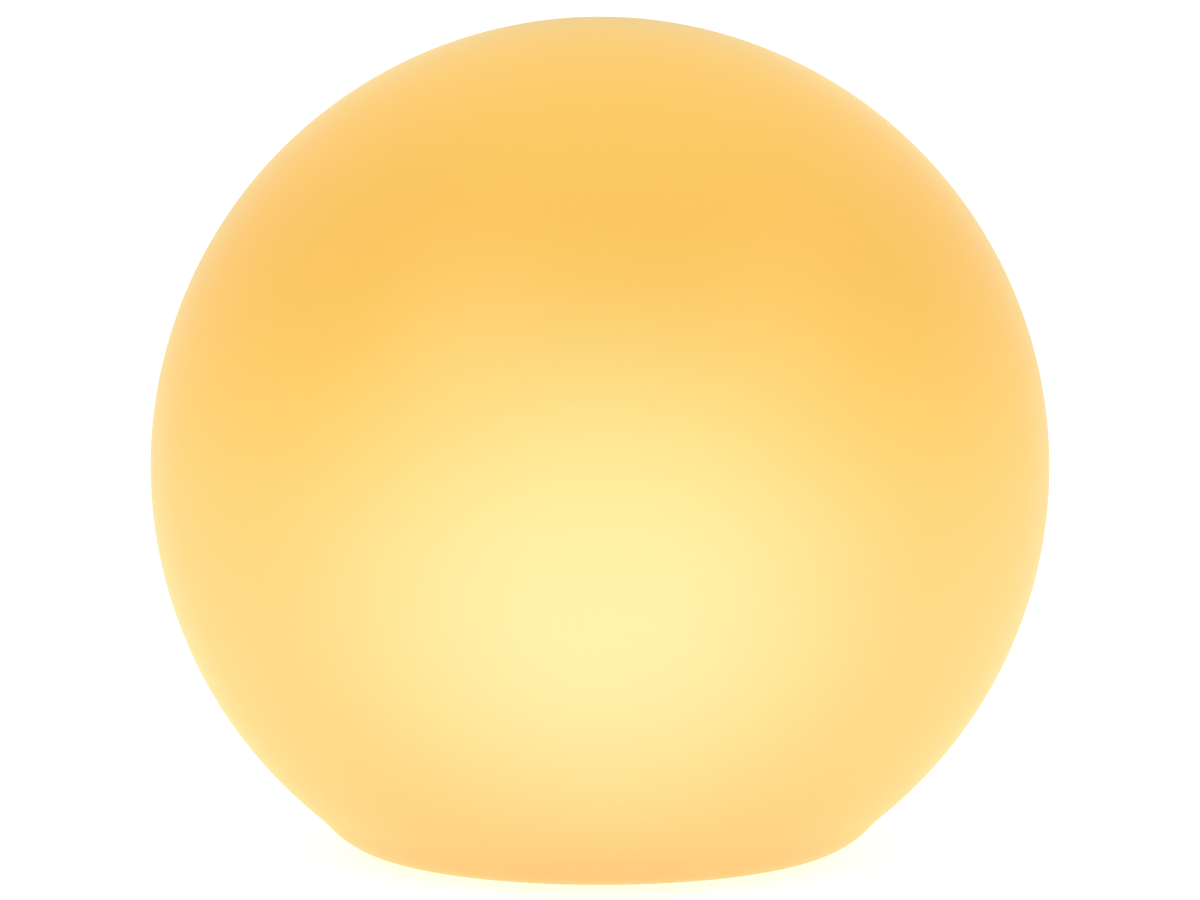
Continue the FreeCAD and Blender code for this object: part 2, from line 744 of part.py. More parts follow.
def button_seal():
    """Square-cut ring in the button's groove, which wipes the bore."""
    body, button = new_body("button_seal"), ("0", "-button_reach")
    pad(body, "Ring", [disc(*button, "seal_r + seal_section / 2"), disc(*button, "seal_r - seal_section / 2")],
        "seal_z - seal_section / 2", "seal_section")


def button_retainer():
    body = new_body("button_retainer")
    button = ("0", "-button_reach")
    pad(body, "Disc", [disc(*button, "button_well_dia / 2 + moulding_wall")], "retainer_z", "retainer_thickness")
    pad(body, "Ears", [rectangle(*button, "2 * retainer_reach + retainer_boss_dia", "retainer_boss_dia")],
        "retainer_z", "retainer_thickness")
    pocket(body, "StemHole", [disc(*button, "retainer_hole / 2")], "retainer_z", "retainer_thickness")
    ears = [("retainer_reach", "-button_reach"), ("-retainer_reach", "-button_reach")]
    pocket(body, "EarHole", discs(ears, "small_screw_dia / 2 + screw_clearance"), "retainer_z", "retainer_thickness")
    slotted_screws("retainer_screws", ears, "retainer_z + retainer_thickness", "retainer_thickness + small_screw_grip")


def switch():
    """Push switch under the board: a square case and the plunger that the stem lifts."""
    case, button = new_body("switch_body"), ("0", "-button_reach")
    pad(case, "Case", [rectangle(*button, "switch_side", "switch_side")], "switch_z", "switch_height")
    pocket(case, "PlungerBore", [disc(*button, "plunger_dia / 2 + button_clearance")], "switch_z",
           "plunger_depth + button_travel + button_clearance")
    plunger = new_body("switch_plunger")
    pad(plunger, "Plunger", [disc(*button, "plunger_dia / 2")], "plunger_z", "plunger_stand_out + plunger_depth")


# Status light, vent and charging coil

def status_light():
    place = ("pipe_across", "-pipe_along")
    light = new_body("status_light_pipe")
    top = "board_z - status_led_height - status_led_gap"
    pad(light, "Shaft", [disc(*place, "pipe_dia / 2")], "foot_standoff", top + " - foot_standoff")
    pad(light, "Collar", [disc(*place, "pipe_head_dia / 2")], "plate_top_z", "pipe_head")
    led = new_body("status_led")
    pad(led, "Chip", [rectangle(*place, "status_led_side", "status_led_side")], "board_z - status_led_height",
        "status_led_height")


def vent_plug():
    """Plug with a rim and a bore, which lets air in and out past a membrane."""
    body, place = new_body("vent_plug"), ("-vent_across", "-vent_along")
    low = "foot_standoff + vent_recess - vent_rim"
    pad(body, "Rim", [disc(*place, "vent_rim_dia / 2")], low, "vent_rim")
    pad(body, "Barrel", [disc(*place, "vent_dia / 2")], low, "plate_top_z + vent_rim - (%s)" % low)
    pocket(body, "Breather", [disc(*place, "vent_bore / 2")], low, "plate_thickness - vent_rim")


def charge_coil():
    """Flat receiving coil on the floor of the cup, with two tails up to the board and a shield on its back."""
    body = new_body("charge_coil")
    pad(body, "Winding", [disc("0", "0", "coil_r"), disc("0", "0", "coil_hole / 2")], "plate_top_z", "coil_height")
    tail_y = "sqrt((coil_r - coil_tail_inset)^2 - coil_tail_spread^2)"
    tails = [("coil_tail_spread", tail_y), ("-coil_tail_spread", tail_y)]
    pad(body, "Tail", discs(tails, "coil_tail_dia / 2"), "plate_top_z", "board_lift")
    sheet = new_body("ferrite_sheet")
    pad(sheet, "Sheet", [disc("0", "0", "coil_r - ferrite_margin")], "plate_top_z + coil_height", "ferrite_height")


# Control board

def control_board():
    """Round board with a notch at each post and four screw holes."""
    body = new_body("control_board")
    pad(body, "Disc", [disc("0", "0", "cup_inner_r - board_edge_gap")], "board_z", "board_thickness")
    pocket(body, "PostNotch", discs(four("post_across", "post_along"), "post_dia / 2 + board_notch"), "board_z",
           "board_thickness")
    pocket(body, "StudHole", discs(four("board_boss_spread", "board_boss_spread"),
                                   "standoff_stud_dia / 2 + screw_clearance"), "board_z", "board_thickness")


def board_components():
    radio = new_body("radio_module")
    pad(radio, "Can", [rounded("0", "radio_along", "radio_length", "radio_width", "inductor_corner")], "board_top_z",
        "radio_height")
    inductor = new_body("power_inductor")
    pad(inductor, "Core", [rounded("0", "-inductor_along", "inductor_side", "inductor_side", "inductor_corner")],
        "board_top_z", "inductor_height")
    connectors = new_body("board_connectors")
    pad(connectors, "Socket", [rectangle("battery_lead_reach", "0", "connector_width", "connector_length"),
                               rectangle("0", "-led_lead_along", "connector_length", "connector_width")],
        "board_top_z", "connector_height")


def board_standoffs():
    """Hexagonal pillars with a stud below and a threaded hole above."""
    body, places = new_body("board_standoffs"), four("board_boss_spread", "board_boss_spread")
    pad(body, "Pillar", [hexagon(x, y, "standoff_flats") for x, y in places], "board_top_z", "standoff_length")
    pad(body, "Stud", discs(places, "standoff_stud_dia / 2"), "board_top_z - standoff_stud", "standoff_stud")
    depth = "small_screw_grip + screw_clearance"
    pocket(body, "Thread", discs(places, "small_screw_dia / 2 + thread_clearance"), "tray_z - (%s)" % depth, depth)


# Battery

def battery_tray():
    """Plate with two cross ribs that cradle the cells, and walls at their ends."""
    body = new_body("battery_tray")
    pad(body, "Plate", [rounded("0", "0", "tray_length", "tray_width", "tray_corner")], "tray_z", "tray_thickness")
    ribs = [rectangle(x, "0", "cradle_width", "2 * cradle_reach") for x in ("cradle_spread", "-cradle_spread")]
    pad(body, "Cradle", ribs, "tray_top_z", "cradle_height")
    end_x = "tray_length / 2 - tray_wall / 2"
    ends = [rectangle(x, y, "tray_wall", "tray_end_width") for x, y in four(end_x, "cell_spacing / 2")]
    pad(body, "End", ends, "tray_top_z", "tray_end_height")
    seats = [disc(y, "cell_z", "cell_dia / 2 + cell_clearance") for y in ("cell_spacing / 2", "-cell_spacing / 2")]
    pocket(body, "CellSeat", seats, "-cell_length / 2", "cell_length", "YZ_Plane")
    pocket(body, "ScrewHole", discs(four("board_boss_spread", "board_boss_spread"),
                                    "small_screw_dia / 2 + screw_clearance"), "tray_z", "tray_thickness")
    slotted_screws("tray_screws", four("board_boss_spread", "board_boss_spread"), "tray_top_z",
                   "tray_thickness + small_screw_grip")


def battery_cell(name, y):
    """Round cell along X with its raised end to the right."""
    can = doc.addObject("Part::Cylinder", name + "_can")
    bind(can, Radius="cell_dia / 2", Height="cell_length - cell_cap")
    rim = doc.addObject("Part::Chamfer", name + "_rim")
    rim.Base = can
    rim.Edges = [(1, value("cell_edge"), value("cell_edge")), (3, value("cell_edge"), value("cell_edge"))]
    cap = doc.addObject("Part::Cylinder", name + "_cap")
    bind(cap, Radius="cell_cap_dia / 2", Height="cell_cap", Placement__Base__z="cell_length - cell_cap")
    cell = doc.addObject("Part::Fuse", name)
    cell.Base, cell.Tool = rim, cap
    cell.Placement.Rotation = FreeCAD.Rotation(V(0, 1, 0), 90)
    bind(cell, Placement__Base__x="-cell_length / 2", Placement__Base__y=y, Placement__Base__z="cell_z")


def battery_contacts():
    """A strip across each end of the two cells. The left one runs on between them to the right."""
    body = new_body("battery_contacts")
    left, right = "-cell_length / 2 - contact_thickness / 2", "cell_length / 2 + contact_thickness / 2"
    across = "cell_spacing + contact_width"
    low = "cell_z - contact_width / 2"
    pad(body, "Strip", [rectangle(x, "0", "contact_thickness", across) for x in (left, right)], low, "contact_width")
    pad(body, "Link", [rectangle("-contact_width / 2", "0", "cell_length - contact_width", "contact_thickness")],
        low, "contact_width")


def battery_foam():
    """Foam that presses the cells into their cradles."""
    body = new_body("battery_foam")
    length, width = "cell_length - 2 * foam_end", "cell_spacing + 2 * foam_overhang"
    pad(body, "Block", [rounded("0", "0", length, width, "foam_corner")], "cell_top_z + foam_gap",
        "foam_thickness - foam_gap")


def leads():
    """The battery's lead down to the board, and the light source's lead up from it."""
    start = "cell_length / 2 + contact_thickness"
    battery = new_body("battery_lead")
    pipe(battery, "Lead", "XZ_Plane", ("0", "0", "0"),
         chain((start, "cell_z"), ("battery_lead_reach - lead_bend", "cell_z"),
               ("battery_lead_reach", "cell_z - lead_bend", "battery_lead_reach - lead_bend", "cell_z - lead_bend",
                "lead_bend"), ("battery_lead_reach", "connector_z")),
         "YZ_Plane", ("0", "0", start), "0", "cell_z", "lead_dia / 2")
    top = "led_board_top_z + led_lead_lift + lead_dia / 2"
    light = new_body("led_lead")
    pipe(light, "Lead", "YZ_Plane", ("0", "0", "0"),
         chain(("-led_lead_along", "connector_z"), ("-led_lead_along", top + " - lead_bend"),
               ("lead_bend - led_lead_along", top, "lead_bend - led_lead_along", top + " - lead_bend", "lead_bend"),
               ("lead_bend + led_lead_run - led_lead_along", top)),
         "XY_Plane", ("0", "0", "connector_z"), "0", "-led_lead_along", "lead_dia / 2")


# Light source

def heat_spreader():
    """Metal disc on the four posts, which carries the light source's board."""
    body = new_body("heat_spreader")
    pad(body, "Disc", [disc("0", "0", "cup_inner_r - spreader_gap")], "spreader_z", "spreader_thickness")
    pocket(body, "PostHole", discs(four("post_across", "post_along"), "cover_screw_dia / 2 + screw_clearance"),
           "spreader_z", "spreader_thickness")
    pocket(body, "BoardHole", discs(three("led_board_r - led_screw_inset"), "small_screw_dia / 2 + thread_clearance"),
           "spreader_z", "spreader_thickness")
    pocket(body, "LeadHole", [disc("0", "-led_lead_along", "led_lead_hole / 2")], "spreader_z", "spreader_thickness")


def led_board():
    body = new_body("led_board")
    pad(body, "Disc", [disc("0", "0", "led_board_r")], "rim_z", "led_board_thickness")
    pocket(body, "ScrewHole", discs(three("led_board_r - led_screw_inset"), "small_screw_dia / 2 + screw_clearance"), "rim_z",
           "led_board_thickness")
    pocket(body, "LeadHole", [disc("0", "-led_lead_along", "led_lead_hole / 2")], "rim_z", "led_board_thickness")
    slotted_screws("led_board_screws", three("led_board_r - led_screw_inset"), "led_board_top_z",
                   "led_board_thickness + spreader_thickness")


def led_chips():
    """Two rings of light chips."""
    body = new_body("led_chips")
    for name, ring_r, count in (("Outer", "led_board_r - led_ring_inset", 8), ("Inner", "led_core_ring_dia / 2", 4)):
        chip = pad(body, name + "Chip", [rectangle(ring_r, "0", "led_side", "led_side")], "led_board_top_z",
                   "led_height")
        around(body, [chip], count)


def led_cover():
    """Frosted inner cover: a drum with leaning sides and a bevelled shoulder, on a flange that closes the cup."""
    body = new_body("led_cover")
    lean = "cover_lean * (cover_rise - cover_shoulder) / cover_rise"
    shoulder_r, top_r = "cover_r - " + lean, "cover_r - cover_lean - cover_shoulder"
    shoulder_z = "cover_top_z - cover_shoulder"
    turned(body, "Drum", loop(
        ("0", "cover_top_z"), (top_r, "cover_top_z"), (shoulder_r, shoulder_z), ("cover_r", "cover_flange_z"),
        ("cup_r - cover_lip", "cover_flange_z"), ("cup_r - cover_lip", "rim_z"), ("cover_r - cover_wall", "rim_z"),
        (shoulder_r + " - cover_wall", shoulder_z + " - cover_wall / 2"),
        (top_r + " - cover_wall / 2", "cover_top_z - cover_wall"), ("0", "cover_top_z - cover_wall")))
    pocket(body, "ScrewHole", discs(four("post_across", "post_along"), "cover_screw_dia / 2 + screw_clearance"),
           "rim_z", "cover_flange")


def cover_screws():
    places = four("post_across", "post_along")
    body = screw_set("cover_screws", places, "cover_flange_z", "cover_screw_length", "cover_head_dia",
                     "cover_head_height", "cover_screw_dia")
    sockets = [hexagon(x, y, "cover_socket") for x, y in places]
    pocket(body, "Socket", sockets, "cover_flange_z + cover_head_height - cover_socket_depth", "cover_socket_depth")


NODES = """globe_shell thread_inserts shell_gasket flange_screws base_housing foot_pads hanging_bail power_button
button_seal button_retainer retainer_screws switch_body switch_plunger status_light_pipe status_led vent_plug
charge_coil ferrite_sheet control_board radio_module power_inductor board_connectors board_standoffs battery_tray
tray_screws battery_cell_front battery_cell_back battery_contacts battery_foam battery_lead led_lead heat_spreader
led_board led_board_screws led_chips led_cover cover_screws""".split()

doc = FreeCAD.newDocument("globe_lamp")
sizes = fill_sheet("Sizes", {name: str(size) for name, size in SIZES.items()})
fill_sheet("Places", {name: "=" + fx(text) for name, text in PLACES.items()})

globe_shell()
thread_inserts()
shell_gasket()
flange_screws()
base_housing()
foot_pads()
hanging_bail()
power_button()
button_seal()
button_retainer()
switch()
status_light()
vent_plug()
charge_coil()
control_board()
board_components()
board_standoffs()
battery_tray()
battery_cell("battery_cell_front", "-cell_spacing / 2")
battery_cell("battery_cell_back", "cell_spacing / 2")
battery_contacts()
battery_foam()
leads()
heat_spreader()
led_board()
led_chips()
led_cover()
cover_screws()
doc.recompute()

for item in doc.Objects:
    if "Invalid" in item.State or "Error" in item.State:
        raise ValueError("%s is in state %s" % (item.Label, item.State))
pieces = {name: doc.getObjectsByLabel(name)[0] for name in NODES}
for name, piece in pieces.items():
    if piece.Shape.isNull() or not piece.Shape.isValid() or not piece.Shape.Solids:
        raise ValueError("%s has no valid solid" % name)
os.makedirs("parts", exist_ok=True)
for name, piece in pieces.items():
    piece.Shape.exportStep("parts/%s.step" % name)
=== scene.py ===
import json
from math import acos, asin, atan2, cos, pi, radians, sin, sqrt

import bmesh
import bpy
from bpy.props import FloatProperty, FloatVectorProperty, IntProperty, PointerProperty
from mathutils import Matrix, Vector


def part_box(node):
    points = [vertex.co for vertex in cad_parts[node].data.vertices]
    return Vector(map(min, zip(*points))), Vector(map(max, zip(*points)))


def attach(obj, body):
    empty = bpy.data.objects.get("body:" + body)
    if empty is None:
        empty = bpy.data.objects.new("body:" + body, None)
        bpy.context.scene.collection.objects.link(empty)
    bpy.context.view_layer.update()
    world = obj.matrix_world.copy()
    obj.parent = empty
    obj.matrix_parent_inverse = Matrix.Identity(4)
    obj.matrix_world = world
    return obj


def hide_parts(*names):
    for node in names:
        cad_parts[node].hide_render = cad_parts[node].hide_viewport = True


# Looks of a portable globe lamp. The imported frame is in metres, with its feet on z = 0 and its button side
# to -Y. Every new piece takes its place from the frame's nodes, and every node that stays gets a real
# material.

bl_info = {
    "name": "Portable globe lamp",
    "version": (1, 0, 0),
    "blender": (4, 5, 0),
    "location": "View3D > Sidebar > Globe lamp",
    "description": "Dresses the frame of a portable globe lamp and sets its studio",
    "category": "Object",
}

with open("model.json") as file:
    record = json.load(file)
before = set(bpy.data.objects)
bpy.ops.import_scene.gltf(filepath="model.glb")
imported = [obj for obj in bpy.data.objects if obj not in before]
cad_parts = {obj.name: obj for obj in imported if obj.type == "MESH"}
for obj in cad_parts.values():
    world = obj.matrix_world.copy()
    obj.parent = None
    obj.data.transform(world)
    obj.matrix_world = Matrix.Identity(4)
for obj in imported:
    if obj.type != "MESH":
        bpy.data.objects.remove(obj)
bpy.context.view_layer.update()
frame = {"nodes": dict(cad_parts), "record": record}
MM = 0.001
RECORD = frame["record"]
BODY_OF = {node: body for body, nodes in RECORD["behaviour"]["bodies"].items() for node in nodes}
SLOT_OF = {row["node"]: row["material_slot"] for row in RECORD["subparts"]}

# The photograph's size, how far down it the ball's middle lies, and the ball's radius in it.
PHOTO_WIDTH_PX, PHOTO_HEIGHT_PX = 1200, 900
BALL_DOWN_PX, BALL_RADIUS_PX = 466.0, 449.6

# How finely curves are made: steps along each arc, then segments around each round piece.
BALL_STEPS, WAIST_STEPS, FOOT_STEPS = 96, 10, 24
PAD_STEPS, BEND_STEPS, BOW_STEPS = 28, 8, 64
DISH_STEPS, RIM_STEPS = 10, 6
BOSS_SEGMENTS, WIRE_SEGMENTS, BUTTON_SEGMENTS = 32, 28, 64

# The material of the globe's faces that show, and of those inside it.
LIT_FACE, INNER_FACE = 0, 1

# The studio: what the white surround and the floor light the lamp with, and what they show to the eye. Then
# the two soft panels, each with its place, width and watts, and the point that they are turned to.
SURROUND_LIGHTS, SURROUND_SHOWS = 0.62, 1.0
FLOOR_LIGHTS, FLOOR_SHOWS = 0.45, 0.6
PANELS = {
    "left panel": ((-1.3, -1.3, 1.7), 1.6, 9.0),
    "right panel": ((1.5, -0.9, 1.5), 1.4, 6.0),
}
PANELS_AIM = Vector((0, 0, 0.1))
SENSOR_WIDTH, CLIP_END = 36.0, 50.0


# Sizes and colours that a user may change

def linear(code):
    """The linear colour of an sRGB hex code."""
    channels = (int(code[start:start + 2], 16) / 255 for start in (1, 3, 5))
    return tuple(c / 12.92 if c <= 0.04045 else ((c + 0.055) / 1.055) ** 2.4 for c in channels)


def length(name, default, description):
    return FloatProperty(name=name, description=description, default=default, min=0,
                         subtype="DISTANCE", unit="LENGTH")


def colour(name, code, description):
    return FloatVectorProperty(name=name, description=description, size=3, default=linear(code),
                               min=0, max=1, subtype="COLOR")


class GlobeSettings(bpy.types.PropertyGroup):
    ball_radius: length("Ball radius", 125 * MM, "Outer radius of the ball")
    wall: length("Wall", 3 * MM, "Thickness of the ball's wall")
    foot_round: length("Foot rounding", 24.5 * MM, "Radius of the foot's outer edge")
    foot_swell: length("Foot swell", 0.93 * MM, "How far the foot's edge stands out of the ball's sphere")
    foot_land: length("Foot land", 0.8 * MM, "Flat ring between the foot's edge and the recess")
    waist_round: length("Waist rounding", 40 * MM, "Radius of the hollow between the ball and its foot")
    seat_width: length("Seat width", 7.5 * MM, "How far the seat ring reaches in under the housing's edge")
    boss_wall: length("Boss wall", 1.5 * MM, "Wall around each threaded insert")
    boss_height: length("Boss height", 8 * MM, "From the seat to the closed end of each boss")
    around: IntProperty(name="Segments", description="Segments around the ball", default=224, min=32,
                        max=512)


class FittingSettings(bpy.types.PropertyGroup):
    foot_width: length("Foot width", 6 * MM, "Width of each rubber foot, across its arc")
    foot_edge: length("Foot edge", 0.45 * MM, "Radius on the edges of the rubber feet")
    screw_edge: length("Screw edge", 0.12 * MM, "Radius on the edges of the flange screws")
    vent_edge: length("Vent edge", 0.2 * MM, "Radius on the vent's rim")
    button_edge: length("Button edge", 0.6 * MM, "Radius on the push face's rim")
    button_dish: length("Button dish", 0.45 * MM, "Depth of the hollow in the push face")
    button_flange: length("Button flange", 1 * MM, "Thickness of the flange that stops the button")
    button_stem: length("Button stem", 2 * MM, "Radius of the stem that lifts the switch")
    tip_radius: length("Stem tip", 1.5 * MM, "Radius of the tip, which follows the plunger into the switch")
    tip_height: length("Stem tip height", 1.2 * MM, "Height of the stem's tip")
    seal_stand_out: length("Seal stand-out", 0.05 * MM, "How far the seal stands out of the button's side")
    seal_room: length("Seal room", 0.05 * MM, "Room around the seal in its groove")
    bail_bend: length("Bail bend", 3.5 * MM, "Radius at which the bail turns outwards into its pivots")


class ColourSettings(bpy.types.PropertyGroup):
    moulding: colour("Moulding", "#E2E0DA", "Base housing, retainer and battery tray")
    cap: colour("Caps", "#A9AAA8", "Button, switch plunger and vent")
    rubber: colour("Rubber", "#2B2B2C", "Feet, gasket and button seal")
    board: colour("Board", "#1F5B35", "Solder mask of the control board")
    sleeve: colour("Cell sleeve", "#2F5F96", "Shrunk sleeve of the battery cells")
    lead: colour("Lead", "#A8352B", "Jacket of the leads")


class StageSettings(bpy.types.PropertyGroup):
    camera_distance: length("Camera distance", 1.75, "From the camera to the ball's centre")
    camera_rise: FloatProperty(name="Camera rise", description="Angle from which the camera looks down",
                               default=radians(6.4), subtype="ANGLE", unit="ROTATION")
    floor_size: length("Floor size", 12.0, "Width and depth of the floor")
    floor_back: length("Floor set back", 1.5, "How far the floor's middle lies behind the lamp")
    floor_colour: colour("Floor colour", "#F6F6F5", "Pale studio floor")


# Materials

def add(tree, kind, settings=None, **links):
    """Adds a node. Settings set its own properties, or its inputs where their name has a capital or is a
    number. Links join its inputs to the outputs of other nodes."""
    node = tree.nodes.new("ShaderNode" + kind)
    for name, value in (settings or {}).items():
        if isinstance(name, int) or name[0].isupper():
            node.inputs[name].default_value = value
        else:
            setattr(node, name, value)
    for name, output in links.items():
        key = int(name[1:]) if name[0] == "_" else name.replace("_", " ")
        tree.links.new(output, node.inputs[key])
    return node


# The noise's values at which the specks are darkest and palest.
SPECKS_LOW, SPECKS_HIGH = 0.3, 0.7


def surface(name, tone, spread, roughness, grain, relief=0.0, stretch=(1, 1, 1), **sockets):
    """A material whose colour, roughness and relief follow one grain. The tone is a hex code or a linear
    colour, and the spread is how much darker its specks are. Grain and relief are the specks' size and depth
    in millimetres. The sockets are the shader's own, for values that are the same all over."""
    material = bpy.data.materials.new(name)
    material.use_nodes = True
    tree = material.node_tree
    shader = tree.nodes["Principled BSDF"]
    for socket, value in sockets.items():
        shader.inputs[socket.replace("_", " ")].default_value = value
    tone = linear(tone) if isinstance(tone, str) else tuple(tone)
    place = add(tree, "Mapping", {"Scale": stretch}, Vector=add(tree, "TexCoord").outputs["Object"])
    specks = add(tree, "TexNoise", {"Scale": 1 / (grain * MM), "Detail": 2.0}, Vector=place.outputs[0])
    specks = specks.outputs["Fac"]
    ramp = add(tree, "ValToRGB", Fac=specks)
    for element, position, share in zip(ramp.color_ramp.elements, (SPECKS_LOW, SPECKS_HIGH), (1 - spread, 1)):
        element.position, element.color = position, (*(channel * share for channel in tone), 1)
    low, high = roughness
    dull = add(tree, "MapRange", {"From Min": SPECKS_LOW, "From Max": SPECKS_HIGH, "To Min": low,
                                  "To Max": high}, Value=specks)
    tree.links.new(ramp.outputs["Color"], shader.inputs["Base Color"])
    tree.links.new(dull.outputs[0], shader.inputs["Roughness"])
    if relief:
        bump = add(tree, "Bump", {"Strength": 1.0, "Distance": relief * MM}, Height=specks)
        tree.links.new(bump.outputs[0], shader.inputs["Normal"])
    return material


# The glow of the ball from its foot to its crown, each as a share of the ball's height.
GLOW = (
    (0.00, "#E3AA7A"), (0.03, "#E7BA80"), (0.13, "#EBC784"), (0.28, "#EDCE89"), (0.43, "#ECCB7B"),
    (0.52, "#E9C76A"), (0.62, "#E6BE56"), (0.72, "#E4B442"), (0.85, "#E5B647"), (1.00, "#EAC75F"),
)
# Painted highlights: soft round spots painted on the wall's front and back, fixed to the ball, where the glow
# seen through the wall is palest: the height of their middle, their reach, how near to the middle they fade,
# as a share of the reach, and the light that they add.
PAINTED_SPOT_HEIGHT, PAINTED_SPOT_REACH, PAINTED_SPOT_FADE, PAINTED_SPOT_GAIN = 90 * MM, 100 * MM, 0.85, "#00777C"
# The wall is thicker here and thinner there: the size of such a patch, and the share of light it changes.
PATCH_SIZE, PATCH_CHANGE = 60 * MM, 0.02


def lit_polyethylene(ball_radius):
    """Rotomoulded polyethylene, milky and satin, lit warm from inside. The wall glows palest in a soft round
    painted highlight, painted level with the light source on its front and back, and turns to amber at the
    crown.
    Its skin takes more of the light the more slantwise the light leaves it, and its fine bloom catches the
    white surround at the rim."""
    # Painted light: the base colour #7E714D is a dim share of the glow's amber, not the cream of the plastic
    # itself, so part of the glow is painted into the colour.
    material = surface(
        "lit rotomoulded polyethylene", "#7E714D", spread=0.05, roughness=(0.34, 0.42), grain=2.5,
        relief=0.01, Emission_Strength=1.0, Coat_Weight=1.0, Coat_IOR=1.05, Coat_Roughness=0.3,
        Coat_Tint=(0.97, 0.89, 0.74, 1), Sheen_Weight=1.0, Sheen_Roughness=0.4, Sheen_Tint=(1, 0.9, 0.5, 1))
    tree = material.node_tree
    low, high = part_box("globe_shell")
    place = add(tree, "TexCoord").outputs["Object"]
    height = add(tree, "SeparateXYZ", Vector=place).outputs["Z"]
    share = add(tree, "MapRange", {"From Min": low.z, "From Max": high.z}, Value=height).outputs[0]
    glow = add(tree, "ValToRGB", Fac=share)
    glow.color_ramp.interpolation = "B_SPLINE"
    for position, _ in GLOW[1:-1]:
        glow.color_ramp.elements.new(position)
    for element, (position, code) in zip(glow.color_ramp.elements, GLOW):
        element.position, element.color = position, (*linear(code), 1)
    # Painted highlight: a pale spot is painted on the wall's front and on its back, and stays there when the
    # view turns.
    painted_spot_y = sqrt(ball_radius ** 2 - (high.z - ball_radius - PAINTED_SPOT_HEIGHT) ** 2)
    front_or_back = add(tree, "VectorMath", {"operation": "ABSOLUTE"}, _0=place).outputs[0]
    painted_spot = add(tree, "Mapping", {"vector_type": "TEXTURE", "Location": (0, painted_spot_y, PAINTED_SPOT_HEIGHT),
                                 "Scale": (PAINTED_SPOT_REACH, PAINTED_SPOT_REACH, PAINTED_SPOT_REACH)}, Vector=front_or_back)
    painted_spot = add(tree, "TexGradient", {"gradient_type": "SPHERICAL"}, Vector=painted_spot.outputs[0])
    painted_spot = add(tree, "MapRange", {"interpolation_type": "SMOOTHSTEP", "From Max": PAINTED_SPOT_FADE},
               Value=painted_spot.outputs["Fac"])
    # The painted highlight is added to the glow here.
    light = add(tree, "VectorMath", {"operation": "MULTIPLY_ADD", 1: linear(PAINTED_SPOT_GAIN)}, _0=painted_spot.outputs[0],
                _2=glow.outputs["Color"])
    patches = add(tree, "TexNoise", {"Scale": 1 / PATCH_SIZE, "Detail": 1.0}, Vector=place).outputs["Fac"]
    uneven = add(tree, "MapRange", {"To Min": 1 - PATCH_CHANGE, "To Max": 1 + PATCH_CHANGE}, Value=patches)
    light = add(tree, "VectorMath", {"operation": "SCALE"}, _0=light.outputs[0], Scale=uneven.outputs[0])
    tree.links.new(light.outputs[0], tree.nodes["Principled BSDF"].inputs["Emission Color"])
    return material


def inner_wall():
    """The inner face of the milky wall: the same plastic without the light in it, slightly rippled by the
    mould."""
    return surface("inner face of the polyethylene wall", "#EFE4C8", spread=0.05, roughness=(0.4, 0.5),
                   grain=6.0, relief=0.05)


def wound_copper():
    """Enamelled copper wire wound flat: reddish metal under clear enamel, ringed at the pitch of its turns.
    A wave's scale is 20 to a full turn of its phase."""
    material = surface("enamelled copper winding", "#B5622F", spread=0.25, roughness=(0.28, 0.4), grain=0.8,
                       Metallic=1.0, Coat_Weight=0.6, Coat_Roughness=0.15)
    tree, pitch, depth = material.node_tree, 0.8 * MM, 0.2 * MM
    place = add(tree, "TexCoord").outputs["Object"]
    rings = add(tree, "TexWave", {"wave_type": "RINGS", "rings_direction": "Z",
                                  "Scale": 2 * pi / (20 * pitch)}, Vector=place)
    turns = add(tree, "Bump", {"Strength": 1.0, "Distance": depth}, Height=rings.outputs["Fac"])
    tree.links.new(turns.outputs[0], tree.nodes["Principled BSDF"].inputs["Normal"])
    return material


